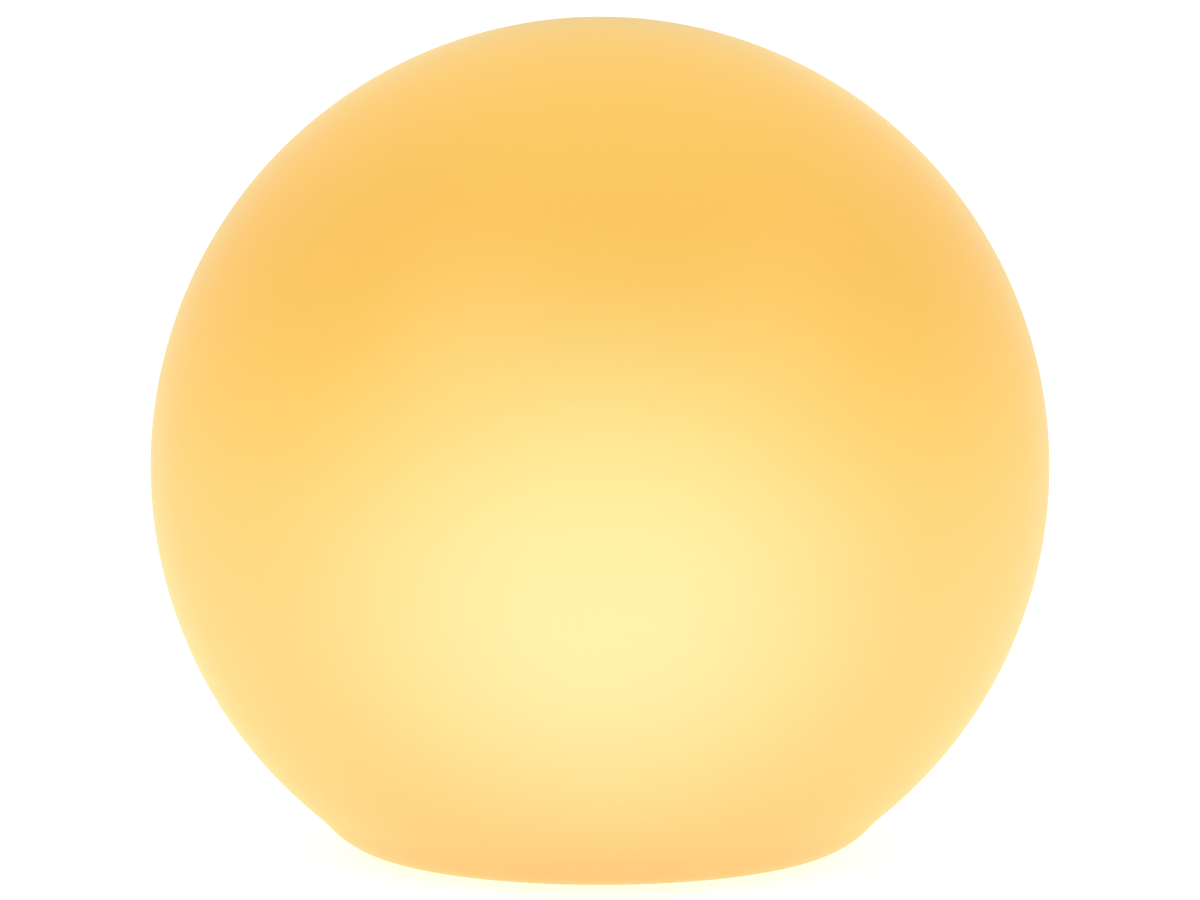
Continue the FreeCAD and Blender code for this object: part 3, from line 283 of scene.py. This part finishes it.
def make_finish(slot, scene):
    """The material of a record slot. Each row gives its name, tone, spread, roughness, grain and relief, and
    what else is special to it. A stretch draws the grain out along one direction. The real grain of moulded,
    drawn, rolled and turned pieces is finer than a pixel, and is drawn as coarse as it needs to show."""
    if slot == "glowing_polyethylene":
        return lit_polyethylene(scene.globelamp_globe.ball_radius)
    if slot == "copper_winding":
        return wound_copper()
    colours = scene.globelamp_colours
    metal = {"Metallic": 1.0}
    rolled = {"Metallic": 1.0, "stretch": (0.1, 1, 1)}
    turned = {"Metallic": 1.0, "stretch": (1, 1, 4)}
    glowing = {"Emission_Color": (*linear("#FFE0A6"), 1), "Emission_Strength": 1.0}
    evenly_lit = {"Emission_Color": (*linear("#F2DCB2"), 1), "Emission_Strength": 0.8}
    rows = {
        # ABS moulded in an eroded tool: warm white and even, with a fine grain that keeps it dull.
        "base_moulding": ("moulded ABS", colours.moulding, 0.05, (0.48, 0.6), 0.5, 0.015, {}),
        # Polycarbonate moulded satin: a denser, cooler grey whose gloss is soft.
        "button_cap": ("satin polycarbonate", colours.cap, 0.05, (0.34, 0.42), 0.4, 0.006, {"IOR": 1.58}),
        # Silicone rubber pressed in a blasted tool: near black, matt and slightly dusty.
        "soft_rubber": ("pressed silicone rubber", colours.rubber, 0.25, (0.7, 0.85), 0.6, 0.02,
                        {"IOR": 1.41}),
        # Stainless steel, drawn or headed and then tumbled: bright grey with a faint cloud in its gloss.
        "stainless_steel": ("tumbled stainless steel", "#CFCECB", 0.12, (0.16, 0.3), 0.7, 0.003, metal),
        # Brass turned from bar: yellow, bright, lined around its axis.
        "turned_brass": ("turned brass", "#DDB565", 0.12, (0.2, 0.32), 0.35, 0.004, turned),
        # Acrylic: clear as water, with a smooth bright gloss.
        "clear_acrylic": ("clear acrylic", "#F2F6F6", 0.02, (0.04, 0.1), 1.2, 0,
                          {"IOR": 1.49, "Transmission_Weight": 1.0}),
        # Polyester case moulding: black, satin, with a little mould bloom.
        "switch_case": ("black polyester moulding", "#1E1E1F", 0.2, (0.4, 0.52), 0.5, 0.008, {}),
        # Glass laminate under green solder mask: deep green and glossy, with darker specks from the weave.
        "green_laminate": ("green solder mask", colours.board, 0.3, (0.22, 0.34), 0.9, 0.01, {}),
        # Laminate under white solder mask: bright and half gloss.
        "white_laminate": ("white solder mask", "#EEEEEA", 0.04, (0.3, 0.42), 0.9, 0.008, {}),
        # Sintered ferrite: charcoal with darker specks and a stony dullness.
        "ferrite": ("sintered ferrite", "#3A3A3C", 0.35, (0.5, 0.7), 0.3, 0.02, {}),
        # Tinned sheet steel, stamped: soft silver with a faint haze.
        "tinned_can": ("tinned sheet steel", "#D2D3D2", 0.1, (0.26, 0.4), 1.5, 0.004, metal),
        # Heat-shrunk sleeve: even colour under gloss, with slow ripples from its shrinking.
        "cell_sleeve": ("shrunk cell sleeve", colours.sleeve, 0.08, (0.18, 0.28), 4.0, 0.03, {"IOR": 1.54}),
        # Nickel strip as rolled: warm silver, lightly brushed along its length.
        "nickel_strip": ("rolled nickel", "#CFCAC0", 0.12, (0.24, 0.36), 0.5, 0.003, rolled),
        # Closed-cell foam: mid grey, with coarse pores that hold the shade.
        "grey_foam": ("closed-cell foam", "#7C7C7E", 0.4, (0.85, 0.95), 0.8, 0.15, {}),
        # Silicone jacket: soft red, matt, a little uneven.
        "lead_jacket": ("silicone lead jacket", colours.lead, 0.15, (0.5, 0.62), 0.7, 0.01, {}),
        # Aluminium sheet as punched: pale grey metal with the mill's faint grain along it.
        "spun_aluminium": ("punched aluminium sheet", "#D6D8DA", 0.1, (0.3, 0.44), 0.4, 0.005, rolled),
        # Phosphor over the chip: egg-yellow silicone that glows warm white.
        "phosphor": ("yellow phosphor", "#F2C95C", 0.1, (0.3, 0.42), 0.4, 0.01, glowing),
        # Polycarbonate with a frosted outer face: milky, evenly lit from the ring of chips.
        "frosted_dome": ("frosted polycarbonate", "#F3EFE4", 0.04, (0.5, 0.62), 0.6, 0.02, evenly_lit),
    }
    *grained, special = rows[slot]
    return surface(*grained, **special)


MADE = {}


def finish_for(node):
    """The material of a node's slot, made once and shared by the pieces that have it."""
    slot = SLOT_OF[node]
    if slot not in MADE:
        MADE[slot] = make_finish(slot, bpy.context.scene)
    return MADE[slot]


# Modelling

def half_width(node):
    low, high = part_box(node)
    return (high.x - low.x) / 2


def six_around(node):
    """The reach of six like pieces set around the middle, the first on +X, and the radius of each."""
    _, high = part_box(node)
    reach = (high.x - high.y) / (1 - sin(radians(60)))
    return reach, high.x - reach


def arc(bm, start, centre, angle, steps):
    """Carries an open profile on along an arc in the XZ plane. Returns its last vertex."""
    made = bmesh.ops.spin(bm, geom=[start], cent=centre, axis=(0, -1, 0), angle=angle, steps=steps,
                          use_merge=False)
    return next(item for item in made["geom_last"] if isinstance(item, bmesh.types.BMVert))


def straight(bm, start, x, z):
    """Carries an open profile on to a point in the XZ plane. Returns its last vertex."""
    made = bmesh.ops.extrude_vert_indiv(bm, verts=[start])["verts"][0]
    made.co = (x, 0, z)
    return made


def full_turn(bm, segments):
    """Spins the whole profile about the Z axis and closes the seam and the poles."""
    bmesh.ops.spin(bm, geom=bm.verts[:] + bm.edges[:], axis=(0, 0, 1), angle=2 * pi, steps=segments,
                   use_merge=True)
    bmesh.ops.remove_doubles(bm, verts=bm.verts, dist=0.001 * MM)
    bmesh.ops.recalc_face_normals(bm, faces=bm.faces)


def repeated(bm, angle, times):
    """Sets copies of everything around the Z axis, up to the angle."""
    bmesh.ops.spin(bm, geom=bm.verts[:] + bm.edges[:] + bm.faces[:], axis=(0, 0, 1), angle=angle, steps=times,
                   use_duplicate=True)


def pushed(bm, edges, way):
    """Carries an open tube straight on. Returns the edges of its new end."""
    made = bmesh.ops.extrude_edge_only(bm, edges=edges)["geom"]
    bmesh.ops.translate(bm, verts=[item for item in made if isinstance(item, bmesh.types.BMVert)], vec=way)
    return [item for item in made if isinstance(item, bmesh.types.BMEdge)]


def swept(bm, edges, centre, angle, steps):
    """Carries an open tube on around an upright line. Returns the edges of its new end."""
    made = bmesh.ops.spin(bm, geom=edges, cent=centre, axis=(0, 0, 1), angle=angle, steps=steps,
                          use_merge=False)
    return [item for item in made["geom_last"] if isinstance(item, bmesh.types.BMEdge)]


def join(bm, other):
    """Adds another bmesh and frees it."""
    mesh = bpy.data.meshes.new("joined")
    other.to_mesh(mesh)
    other.free()
    bm.from_mesh(mesh)
    bpy.data.meshes.remove(mesh)


def merged_copy(node):
    """A copy of a node's mesh with its loose triangles joined and its flat faces made whole."""
    bm = bmesh.new()
    bm.from_mesh(frame["nodes"][node].data)
    bmesh.ops.remove_doubles(bm, verts=bm.verts, dist=0.002 * MM)
    bmesh.ops.dissolve_limit(bm, angle_limit=radians(0.5), verts=bm.verts, edges=bm.edges)
    return bm


def round_edges(bm, radius, segments=2):
    """Rounds every edge whose faces turn by more than 50 degrees."""
    sharp = [edge for edge in bm.edges if edge.calc_face_angle(0) > radians(50)]
    bmesh.ops.bevel(bm, geom=sharp, offset=radius, offset_type="OFFSET", segments=segments, profile=0.5,
                    affect="EDGES", material=-1, clamp_overlap=True)


def new_piece(name, bm, node, extra=()):
    """Makes the piece that replaces a node, smooth but for edges of 35 degrees or more, and rides it on the
    node's body."""
    mesh = bpy.data.meshes.new(name)
    bm.to_mesh(mesh)
    bm.free()
    mesh.shade_smooth()
    mesh.set_sharp_from_angle(angle=radians(35))
    for material in (finish_for(node), *extra):
        mesh.materials.append(material)
    piece = bpy.data.objects.new(name, mesh)
    bpy.context.scene.collection.objects.link(piece)
    even = piece.modifiers.new("even shading", "WEIGHTED_NORMAL")
    even.keep_sharp = True
    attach(piece, BODY_OF[node])
    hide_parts(node)
    return piece


class GLOBELAMP_OT_globe(bpy.types.Operator):
    """Spin the ball with its foot, its waist and the ring that the base module seats against"""
    bl_idname = "globelamp.globe"
    bl_label = "Globe"

    def execute(self, context):
        sizes = context.scene.globelamp_globe
        low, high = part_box("globe_shell")
        ball_r, wall = sizes.ball_radius, sizes.wall
        centre = Vector((0, 0, high.z - ball_r))
        foot_reach = ball_r + sizes.foot_swell - sizes.foot_round
        foot_z = low.z + sizes.foot_round
        foot_x = sqrt(foot_reach ** 2 - (centre.z - foot_z) ** 2)
        foot = Vector((foot_x, 0, foot_z))
        waist_reach = ball_r + sizes.waist_round
        foot_to_waist = sizes.foot_round + sizes.waist_round
        along = (waist_reach ** 2 - foot_to_waist ** 2 + foot_reach ** 2) / (2 * foot_reach)
        waist_angle = atan2(foot.z - centre.z, foot.x) + acos(along / waist_reach)
        waist = centre + waist_reach * Vector((cos(waist_angle), 0, sin(waist_angle)))
        down = foot - waist
        ball_turn = pi / 2 - waist_angle
        waist_turn = (atan2(down.z, down.x) - atan2(-sin(waist_angle), -cos(waist_angle))) % (2 * pi)
        foot_turn = (atan2(-down.z, -down.x) + pi / 2) % (2 * pi)
        seat_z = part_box("shell_gasket")[1].z
        recess_r = foot_x - wall - sizes.foot_land
        mouth_r = half_width("base_housing") - sizes.seat_width

        bm = bmesh.new()
        edge = bm.verts.new((0, 0, high.z))
        edge = arc(bm, edge, centre, -ball_turn, BALL_STEPS)
        edge = arc(bm, edge, waist, waist_turn, WAIST_STEPS)
        edge = arc(bm, edge, foot, -foot_turn, FOOT_STEPS)
        for x, z in ((recess_r, low.z), (recess_r, seat_z), (mouth_r, seat_z), (mouth_r, seat_z + wall),
                     (recess_r + wall, seat_z + wall), (recess_r + wall, low.z + wall),
                     (foot_x, low.z + wall)):
            edge = straight(bm, edge, x, z)
        edge = arc(bm, edge, foot, foot_turn, FOOT_STEPS)
        edge = arc(bm, edge, waist, -waist_turn, WAIST_STEPS)
        arc(bm, edge, centre, ball_turn, BALL_STEPS)
        full_turn(bm, sizes.around)
        for face in bm.faces:
            middle = face.calc_center_median()
            shows = face.normal.dot(middle - centre) > 0 or middle.z < seat_z + wall / 2
            face.material_index = LIT_FACE if shows else INNER_FACE
        add_bosses(bm, sizes, seat_z)
        new_piece("globe", bm, "globe_shell", extra=[inner_wall()])
        return {"FINISHED"}


def add_bosses(bm, sizes, seat_z):
    """Six blind bosses on the ball's seat ring, one around each threaded insert."""
    reach, insert_r = six_around("thread_inserts")
    hole_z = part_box("thread_inserts")[1].z
    boss_r, top_z, root_z = insert_r + sizes.boss_wall, seat_z + sizes.boss_height, seat_z + sizes.wall
    bosses = bmesh.new()
    edge = bosses.verts.new((0, 0, top_z))
    for x, z in ((boss_r, top_z), (boss_r, root_z), (insert_r, root_z), (insert_r, hole_z), (0, hole_z)):
        edge = straight(bosses, edge, x, z)
    full_turn(bosses, BOSS_SEGMENTS)
    bmesh.ops.translate(bosses, verts=bosses.verts, vec=(reach, 0, 0))
    repeated(bosses, radians(300), 5)
    for face in bosses.faces:
        face.material_index = INNER_FACE
    join(bm, bosses)


class GLOBELAMP_OT_vent(bpy.types.Operator):
    """Round the edges of the vent's rim and of its bore"""
    bl_idname = "globelamp.vent"
    bl_label = "Vent"

    def execute(self, context):
        bm = merged_copy("vent_plug")
        round_edges(bm, context.scene.globelamp_fittings.vent_edge)
        new_piece("vent", bm, "vent_plug")
        return {"FINISHED"}


class GLOBELAMP_OT_feet(bpy.types.Operator):
    """Sweep three arc-shaped rubber feet with rounded edges"""
    bl_idname = "globelamp.feet"
    bl_label = "Feet"

    def execute(self, context):
        sizes = context.scene.globelamp_fittings
        low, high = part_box("foot_pads")
        outer_r = high.y
        inner_r = outer_r - sizes.foot_width
        span = 2 * (radians(30) - acos(high.x / outer_r))
        bm = bmesh.new()
        bmesh.ops.create_grid(bm, x_segments=1, y_segments=1, size=0.5)
        bmesh.ops.scale(bm, verts=bm.verts, vec=(sizes.foot_width, high.z - low.z, 1))
        bmesh.ops.rotate(bm, verts=bm.verts, matrix=Matrix.Rotation(pi / 2, 3, "X"))
        bmesh.ops.translate(bm, verts=bm.verts, vec=((inner_r + outer_r) / 2, 0, (low.z + high.z) / 2))
        bmesh.ops.rotate(bm, verts=bm.verts, matrix=Matrix.Rotation(radians(90) - span / 2, 3, "Z"))
        bmesh.ops.spin(bm, geom=bm.faces[:], axis=(0, 0, 1), angle=span, steps=PAD_STEPS)
        bmesh.ops.recalc_face_normals(bm, faces=bm.faces)
        round_edges(bm, sizes.foot_edge, segments=3)
        repeated(bm, radians(240), 2)
        new_piece("feet", bm, "foot_pads")
        return {"FINISHED"}


class GLOBELAMP_OT_screws(bpy.types.Operator):
    """Break the edges of the six flange screws"""
    bl_idname = "globelamp.screws"
    bl_label = "Flange screws"

    def execute(self, context):
        bm = merged_copy("flange_screws")
        round_edges(bm, context.scene.globelamp_fittings.screw_edge)
        new_piece("screws", bm, "flange_screws")
        return {"FINISHED"}


class GLOBELAMP_OT_bail(bpy.types.Operator):
    """Sweep the bail's wire from one pivot to the other, folded in its groove"""
    bl_idname = "globelamp.bail"
    bl_label = "Hanging bail"

    def execute(self, context):
        bend = context.scene.globelamp_fittings.bail_bend
        low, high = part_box("hanging_bail")
        wire_r, z = (high.z - low.z) / 2, (high.z + low.z) / 2
        bow_r = high.y - wire_r - bend
        pivot_x = bow_r + bend
        bm = bmesh.new()
        bmesh.ops.create_circle(bm, segments=WIRE_SEGMENTS, radius=wire_r,
                                matrix=Matrix.Translation((high.x, 0, z)) @ Matrix.Rotation(pi / 2, 4, "Y"))
        end = pushed(bm, bm.edges[:], (pivot_x - high.x, 0, 0))
        for centre_x, angle, steps in ((pivot_x, -pi / 2, BEND_STEPS), (0, pi, BOW_STEPS),
                                       (-pivot_x, -pi / 2, BEND_STEPS)):
            end = swept(bm, end, (centre_x, bend, z), angle, steps)
        pushed(bm, end, (pivot_x - high.x, 0, 0))
        bmesh.ops.holes_fill(bm, edges=bm.edges, sides=0)
        bmesh.ops.recalc_face_normals(bm, faces=bm.faces)
        round_edges(bm, wire_r / 5)
        new_piece("bail", bm, "hanging_bail")
        return {"FINISHED"}


class GLOBELAMP_OT_button(bpy.types.Operator):
    """Spin the push button with its dished face, its seal groove, its flange and its stem"""
    bl_idname = "globelamp.button"
    bl_label = "Button"

    def execute(self, context):
        sizes = context.scene.globelamp_fittings
        low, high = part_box("power_button")
        seal_low, seal_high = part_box("button_seal")
        seal_r, flange_r, room = half_width("button_seal"), half_width("power_button"), sizes.seal_room
        cap_r = seal_r - sizes.seal_stand_out
        groove_r = seal_r - (seal_high.z - seal_low.z) - room
        groove_low, groove_high = seal_low.z - room, seal_high.z + room
        flange_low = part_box("charge_coil")[0].z
        flange_high, tip_low = flange_low + sizes.button_flange, high.z - sizes.tip_height
        stem_r, tip_r = sizes.button_stem, sizes.tip_radius
        rim = cap_r - sizes.button_edge
        dish_r = (rim ** 2 + sizes.button_dish ** 2) / (2 * sizes.button_dish)
        bm = bmesh.new()
        edge = bm.verts.new((0, 0, low.z + sizes.button_dish))
        edge = arc(bm, edge, (0, 0, low.z + sizes.button_dish - dish_r), -asin(rim / dish_r), DISH_STEPS)
        edge = arc(bm, edge, (rim, 0, low.z + sizes.button_edge), pi / 2, RIM_STEPS)
        for x, z in ((cap_r, groove_low), (groove_r, groove_low), (groove_r, groove_high),
                     (cap_r, groove_high), (cap_r, flange_low), (flange_r, flange_low),
                     (flange_r, flange_high), (stem_r, flange_high), (stem_r, tip_low), (tip_r, tip_low),
                     (tip_r, high.z), (0, high.z)):
            edge = straight(bm, edge, x, z)
        full_turn(bm, BUTTON_SEGMENTS)
        bmesh.ops.translate(bm, verts=bm.verts, vec=(0, (low.y + high.y) / 2, 0))
        new_piece("button", bm, "power_button")
        return {"FINISHED"}


class GLOBELAMP_OT_inside(bpy.types.Operator):
    """Give the base housing, the seals and all that is inside the real material of their slots"""
    bl_idname = "globelamp.inside"
    bl_label = "Housing, seals and inside"

    def execute(self, context):
        for name, node in frame["nodes"].items():
            if not node.hide_render:
                node.data.materials.clear()
                node.data.materials.append(finish_for(name))
        return {"FINISHED"}


class GLOBELAMP_OT_stage(bpy.types.Operator):
    """Set the pale floor, the studio light and the camera at the photograph's viewing angle"""
    bl_idname = "globelamp.stage"
    bl_label = "Stage"

    def execute(self, context):
        settings = context.scene.globelamp_stage
        make_floor(settings)
        make_surround()
        make_panels()
        make_camera(settings, context.scene.globelamp_globe.ball_radius)
        context.scene.view_settings.view_transform = "Standard"
        return {"FINISHED"}


def floor_paint(tone):
    """Matt white studio paint. Seen from above it is near white and keeps the shadow. From below it isn't
    there."""
    material = bpy.data.materials.new("matt studio paint")
    material.use_nodes = True
    tree = material.node_tree
    shader = tree.nodes["Principled BSDF"]
    shader.inputs["Base Color"].default_value = (*tone, 1)
    shader.inputs["Roughness"].default_value = 0.9
    shader.inputs["Specular IOR Level"].default_value = 0.0
    shader.inputs["Emission Color"].default_value = (1, 1, 1, 1)
    seen = add(tree, "LightPath").outputs["Is Camera Ray"]
    glow = add(tree, "MapRange", {"To Min": FLOOR_LIGHTS, "To Max": FLOOR_SHOWS}, Value=seen)
    tree.links.new(glow.outputs[0], shader.inputs["Emission Strength"])
    mix = add(tree, "MixShader", Fac=add(tree, "NewGeometry").outputs["Backfacing"], _1=shader.outputs[0],
              _2=add(tree, "BsdfTransparent").outputs[0])
    tree.links.new(mix.outputs[0], tree.nodes["Material Output"].inputs["Surface"])
    return material


def make_floor(settings):
    bm = bmesh.new()
    bmesh.ops.create_grid(bm, x_segments=1, y_segments=1, size=settings.floor_size / 2)
    bmesh.ops.translate(bm, verts=bm.verts, vec=(0, settings.floor_back, 0))
    mesh = bpy.data.meshes.new("floor")
    bm.to_mesh(mesh)
    bm.free()
    mesh.materials.append(floor_paint(settings.floor_colour))
    floor = bpy.data.objects.new("floor", mesh)
    bpy.context.scene.collection.objects.link(floor)


def make_surround():
    """A white surround. The camera, glossy surfaces and glass see it at full white, and it lights at less."""
    world = bpy.data.worlds.new("studio surround")
    world.use_nodes = True
    tree = world.node_tree
    path = add(tree, "LightPath").outputs
    seen = add(tree, "Math", {"operation": "MAXIMUM"}, _0=path["Is Camera Ray"], _1=path["Is Glossy Ray"])
    seen = add(tree, "Math", {"operation": "MAXIMUM"}, _0=seen.outputs[0], _1=path["Is Transmission Ray"])
    strength = add(tree, "MapRange", {"To Min": SURROUND_LIGHTS, "To Max": SURROUND_SHOWS},
                   Value=seen.outputs[0])
    background = tree.nodes["Background"]
    background.inputs["Color"].default_value = (1, 1, 1, 1)
    tree.links.new(strength.outputs[0], background.inputs["Strength"])
    bpy.context.scene.world = world


def make_panels():
    """Two large soft panels, above on either side of the camera."""
    for name, (place, width, watts) in PANELS.items():
        light = bpy.data.lights.new(name, "AREA")
        light.shape, light.size, light.energy = "DISK", width, watts
        panel = bpy.data.objects.new(name, light)
        turn = (PANELS_AIM - Vector(place)).to_track_quat("-Z", "Y").to_matrix().to_4x4()
        panel.matrix_world = Matrix.Translation(place) @ turn
        bpy.context.scene.collection.objects.link(panel)


def make_camera(settings, ball_radius):
    """Looks at the ball so that its outline keeps the photograph's place and width."""
    _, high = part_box("globe_shell")
    centre = Vector((0, 0, high.z - ball_radius))
    distance, rise = settings.camera_distance, settings.camera_rise
    place = centre - Vector((0, cos(rise), -sin(rise))) * distance
    focal_px = BALL_RADIUS_PX / (ball_radius / sqrt(distance ** 2 - ball_radius ** 2))
    above = (BALL_DOWN_PX - PHOTO_HEIGHT_PX / 2) / focal_px * distance
    target = centre + Vector((0, sin(rise), cos(rise))) * above
    optics = bpy.data.cameras.new("camera")
    optics.sensor_width = SENSOR_WIDTH
    optics.lens = focal_px * SENSOR_WIDTH / PHOTO_WIDTH_PX
    optics.clip_end = CLIP_END
    camera = bpy.data.objects.new("camera", optics)
    turn = (target - place).to_track_quat("-Z", "Y").to_matrix().to_4x4()
    camera.matrix_world = Matrix.Translation(place) @ turn
    bpy.context.scene.collection.objects.link(camera)
    bpy.context.scene.camera = camera


class GLOBELAMP_PT_panel(bpy.types.Panel):
    """The lamp's sizes and colours, and a button for each group of pieces"""
    bl_idname = "GLOBELAMP_PT_panel"
    bl_label = "Globe lamp"
    bl_space_type = "VIEW_3D"
    bl_region_type = "UI"
    bl_category = "Globe lamp"

    def draw(self, context):
        for settings in (getattr(context.scene, name) for name in SETTINGS):
            for field in settings.__annotations__:
                self.layout.prop(settings, field)
        for operator in OPERATORS:
            self.layout.operator(operator.bl_idname)


SETTINGS = {
    "globelamp_globe": GlobeSettings, "globelamp_fittings": FittingSettings,
    "globelamp_colours": ColourSettings, "globelamp_stage": StageSettings,
}
OPERATORS = (
    GLOBELAMP_OT_globe, GLOBELAMP_OT_vent, GLOBELAMP_OT_feet, GLOBELAMP_OT_screws, GLOBELAMP_OT_bail,
    GLOBELAMP_OT_button, GLOBELAMP_OT_inside, GLOBELAMP_OT_stage,
)
CLASSES = (*SETTINGS.values(), *OPERATORS, GLOBELAMP_PT_panel)


def register():
    for item in CLASSES:
        bpy.utils.register_class(item)
    for name, group in SETTINGS.items():
        setattr(bpy.types.Scene, name, PointerProperty(type=group))


def unregister():
    for name in SETTINGS:
        delattr(bpy.types.Scene, name)
    for item in reversed(CLASSES):
        bpy.utils.unregister_class(item)


def main():
    register()
    make = bpy.ops.globelamp
    for piece in (make.globe, make.vent, make.feet, make.screws, make.bail, make.button, make.inside,
                  make.stage):
        piece()


if __name__ == "__main__":
    main()
